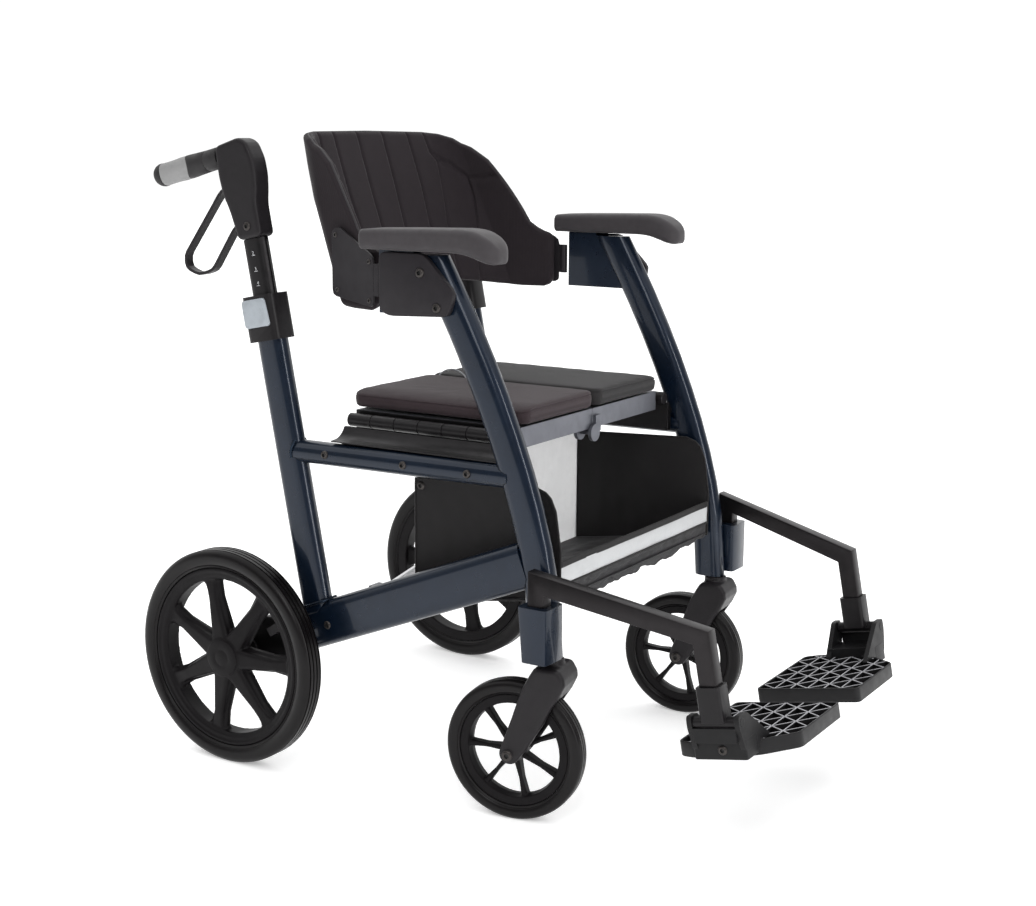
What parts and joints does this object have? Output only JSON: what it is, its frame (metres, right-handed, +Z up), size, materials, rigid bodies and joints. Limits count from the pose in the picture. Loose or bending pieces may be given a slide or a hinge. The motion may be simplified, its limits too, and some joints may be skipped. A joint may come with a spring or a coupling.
{
  "type": "rollator walker",
  "caption": "Folding rollator and transport chair with curved front legs, padded seat and backrest, brakes, bag and footrests.",
  "frame": {"origin": "on the floor, under the middle of the whole chair's box", "axes": "+Z up, the chair faces -Y, the sitter's right is -X; X = 0 is the middle plane"},
  "size_m": [0.6358, 0.9806, 0.891],
  "materials": {
    "frame_paint": "slate blue metallic paint",
    "black_plastic": "fine moulded grain",
    "black_alloy": "satin black coating",
    "tyre": "solid grey-black tyre",
    "grey_rubber": "soft grip sleeve",
    "grey_plastic": "satin light grey",
    "seat_alloy": "light grey satin",
    "silver_alloy": "satin",
    "pad_foam": "self-skinned foam",
    "seat_fabric": "coated upholstery cloth",
    "back_fabric": "padded knit cover",
    "bag_fabric": "coated nylon",
    "webbing": "woven strap"
  },
  "bodies": {
    "left_frame": {"rear_post_left": "frame_paint", "side_rail_left": "frame_paint", "lower_tube_left": "frame_paint", "front_leg_left": "frame_paint", "back_bracket_left": "frame_paint", "bracket_cover_left": "black_plastic", "armrest_pad_left": "pad_foam", "seat_hinge_rail_left": "black_alloy", "axle_carrier_left": "black_alloy", "handle_collar_left": "black_plastic", "back_shell": "back_fabric", "bag": "bag_fabric"},
    "right_frame": {"rear_post_right": "frame_paint", "side_rail_right": "frame_paint", "lower_tube_right": "frame_paint", "front_leg_right": "frame_paint", "back_bracket_right": "frame_paint", "bracket_cover_right": "black_plastic", "armrest_pad_right": "pad_foam", "seat_hinge_rail_right": "black_alloy", "axle_carrier_right": "black_alloy", "handle_collar_right": "black_plastic"},
    "left_seat": {"seat_frame_left": "seat_alloy", "seat_cushion_left": "seat_fabric", "pull_strap": "webbing"},
    "right_seat": {"seat_frame_right": "seat_alloy", "seat_cushion_right": "seat_fabric"},
    "right_brace": {"brace_right": "silver_alloy"},
    "right_handle": {"handle_tube_right": "black_alloy", "handle_head_right": "black_plastic", "grip_right": "grey_rubber"},
    "right_brake_lever": {"brake_lever_right": "black_alloy"},
    "right_brake_shoe": {"brake_shoe_right": "black_plastic"},
    "right_height_button": {"height_button_right": "grey_plastic"},
    "right_rear_wheel": {"rear_rim_right": "black_plastic", "rear_tyre_right": "tyre"},
    "right_caster_fork": {"caster_fork_right": "black_plastic"},
    "right_caster_wheel": {"caster_rim_right": "black_plastic", "caster_tyre_right": "tyre"},
    "right_footrest": {"hanger_right": "black_alloy"},
    "right_foot_tube": {"foot_tube_right": "black_plastic"},
    "right_footplate": {"footplate_right": "black_plastic"},
    "right_back_plate": {"back_plate_right": "black_plastic"},
    "left_brace": {"brace_left": "silver_alloy"},
    "left_handle": {"handle_tube_left": "black_alloy", "handle_head_left": "black_plastic", "grip_left": "grey_rubber"},
    "left_brake_lever": {"brake_lever_left": "black_alloy"},
    "left_brake_shoe": {"brake_shoe_left": "black_plastic"},
    "left_height_button": {"height_button_left": "grey_plastic"},
    "left_rear_wheel": {"rear_rim_left": "black_plastic", "rear_tyre_left": "tyre"},
    "left_caster_fork": {"caster_fork_left": "black_plastic"},
    "left_caster_wheel": {"caster_rim_left": "black_plastic", "caster_tyre_left": "tyre"},
    "left_footrest": {"hanger_left": "black_alloy"},
    "left_foot_tube": {"foot_tube_left": "black_plastic"},
    "left_footplate": {"footplate_left": "black_plastic"},
    "left_back_plate": {"back_plate_left": "black_plastic"}
  },
  "joints": [
    {"name": "seat_fold", "type": "hinge", "parent": "left_frame", "child": "left_seat", "pos_m": [0.205, 0.0477, 0.4975], "axis": [0, 1, 0], "range_deg": [0, 65], "deforming": ["back_shell", "bag"]},
    {"name": "seat_centre", "type": "hinge", "parent": "left_seat", "child": "right_seat", "pos_m": [0, 0.0477, 0.4755], "axis": [0, 1, 0], "range_deg": [-130, 0], "deforming": ["back_shell", "bag"]},
    {"name": "right_frame_hinge", "type": "hinge", "parent": "right_seat", "child": "right_frame", "pos_m": [-0.205, 0.0477, 0.4975], "axis": [0, 1, 0], "range_deg": [0, 65], "deforming": ["back_shell", "bag"]},
    {"name": "right_brace_swing", "type": "hinge", "parent": "right_frame", "child": "right_brace", "pos_m": [-0.2165, 0.1127, 0.262], "axis": [0, -1, 0], "range_deg": [0, 47.52]},
    {"name": "right_rear_wheel_spin", "type": "hinge", "parent": "right_frame", "child": "right_rear_wheel", "pos_m": [-0.2976, 0.3277, 0.155], "axis": [1, 0, 0], "continuous": true},
    {"name": "right_caster_swivel", "type": "hinge", "parent": "right_frame", "child": "right_caster_fork", "pos_m": [-0.243, -0.1743, 0.24], "axis": [0, 0, 1], "continuous": true},
    {"name": "right_caster_spin", "type": "hinge", "parent": "right_caster_fork", "child": "right_caster_wheel", "pos_m": [-0.25154, -0.12585, 0.095], "axis": [0.9848, 0.1736, 0], "continuous": true},
    {"name": "right_handle_height", "type": "slide", "parent": "right_frame", "child": "right_handle", "axis": [0, 0.1908, 0.9816], "range_m": [-0.07, 0.03]},
    {"name": "right_brake_squeeze", "type": "hinge", "parent": "right_handle", "child": "right_brake_lever", "pos_m": [-0.243, 0.33701, 0.81295], "axis": [1, 0, 0], "range_deg": [0, 20], "stiffness_Nm_per_rad": 0.6},
    {"name": "right_brake_shoe_slide", "type": "slide", "parent": "right_frame", "child": "right_brake_shoe", "axis": [0, -0.8387, 0.5446], "range_m": [0, 0.003]},
    {"name": "right_height_button_push", "type": "slide", "parent": "right_frame", "child": "right_height_button", "axis": [1, 0, 0], "range_m": [0, 0.0022], "stiffness_N_per_m": 800},
    {"name": "right_footrest_lift", "type": "slide", "parent": "right_frame", "child": "right_footrest", "axis": [0, 0, 1], "range_m": [0, 0.05]},
    {"name": "right_footrest_length", "type": "slide", "parent": "right_footrest", "child": "right_foot_tube", "axis": [0, -0.1908, -0.9816], "range_m": [0, 0.05]},
    {"name": "right_footplate_flip", "type": "hinge", "parent": "right_foot_tube", "child": "right_footplate", "pos_m": [-0.2395, -0.40641, 0.18198], "axis": [0, -0.9816, 0.1908], "range_deg": [0, 90]},
    {"name": "right_back_plate_swing", "type": "hinge", "parent": "right_frame", "child": "right_back_plate", "pos_m": [-0.238, 0.0987, 0.7], "axis": [0, 0, 1], "range_deg": [0, 6.5]},
    {"name": "left_brace_swing", "type": "hinge", "parent": "left_frame", "child": "left_brace", "pos_m": [0.2165, 0.1197, 0.262], "axis": [0, 1, 0], "range_deg": [0, 47.52]},
    {"name": "left_rear_wheel_spin", "type": "hinge", "parent": "left_frame", "child": "left_rear_wheel", "pos_m": [0.2976, 0.3277, 0.155], "axis": [1, 0, 0], "continuous": true},
    {"name": "left_caster_swivel", "type": "hinge", "parent": "left_frame", "child": "left_caster_fork", "pos_m": [0.243, -0.1743, 0.24], "axis": [0, 0, 1], "continuous": true},
    {"name": "left_caster_spin", "type": "hinge", "parent": "left_caster_fork", "child": "left_caster_wheel", "pos_m": [0.23914, -0.12525, 0.095], "axis": [0.9969, 0.0785, 0], "continuous": true},
    {"name": "left_handle_height", "type": "slide", "parent": "left_frame", "child": "left_handle", "axis": [0, 0.1908, 0.9816], "range_m": [-0.07, 0.03]},
    {"name": "left_brake_squeeze", "type": "hinge", "parent": "left_handle", "child": "left_brake_lever", "pos_m": [0.243, 0.33701, 0.81295], "axis": [1, 0, 0], "range_deg": [0, 20], "stiffness_Nm_per_rad": 0.6},
    {"name": "left_brake_shoe_slide", "type": "slide", "parent": "left_frame", "child": "left_brake_shoe", "axis": [0, -0.8387, 0.5446], "range_m": [0, 0.003]},
    {"name": "left_height_button_push", "type": "slide", "parent": "left_frame", "child": "left_height_button", "axis": [-1, 0, 0], "range_m": [0, 0.0022], "stiffness_N_per_m": 800},
    {"name": "left_footrest_lift", "type": "slide", "parent": "left_frame", "child": "left_footrest", "axis": [0, 0, 1], "range_m": [0, 0.05]},
    {"name": "left_footrest_length", "type": "slide", "parent": "left_footrest", "child": "left_foot_tube", "axis": [0, -0.1908, -0.9816], "range_m": [0, 0.05]},
    {"name": "left_footplate_flip", "type": "hinge", "parent": "left_foot_tube", "child": "left_footplate", "pos_m": [0.2395, -0.40641, 0.18198], "axis": [0, 0.9816, -0.1908], "range_deg": [0, 90]},
    {"name": "left_back_plate_swing", "type": "hinge", "parent": "left_frame", "child": "left_back_plate", "pos_m": [0.238, 0.0987, 0.7], "axis": [0, 0, -1], "range_deg": [0, 6.5]}
  ],
  "couplings": [
    {"joint": "seat_centre", "follows": "seat_fold", "ratio": -2},
    {"joint": "right_frame_hinge", "follows": "seat_fold", "ratio": 1},
    {"joint": "right_brace_swing", "follows": "seat_fold", "ratio": 0.731},
    {"joint": "right_brake_shoe_slide", "follows": "right_brake_squeeze", "m_per_rad": 0.00859},
    {"joint": "right_footplate_flip", "follows": "seat_fold", "ratio": 1.3846},
    {"joint": "right_back_plate_swing", "follows": "seat_fold", "ratio": 0.1},
    {"joint": "left_brace_swing", "follows": "seat_fold", "ratio": 0.731},
    {"joint": "left_brake_shoe_slide", "follows": "left_brake_squeeze", "m_per_rad": 0.00859},
    {"joint": "left_footplate_flip", "follows": "seat_fold", "ratio": 1.3846},
    {"joint": "left_back_plate_swing", "follows": "seat_fold", "ratio": 0.1}
  ]
}
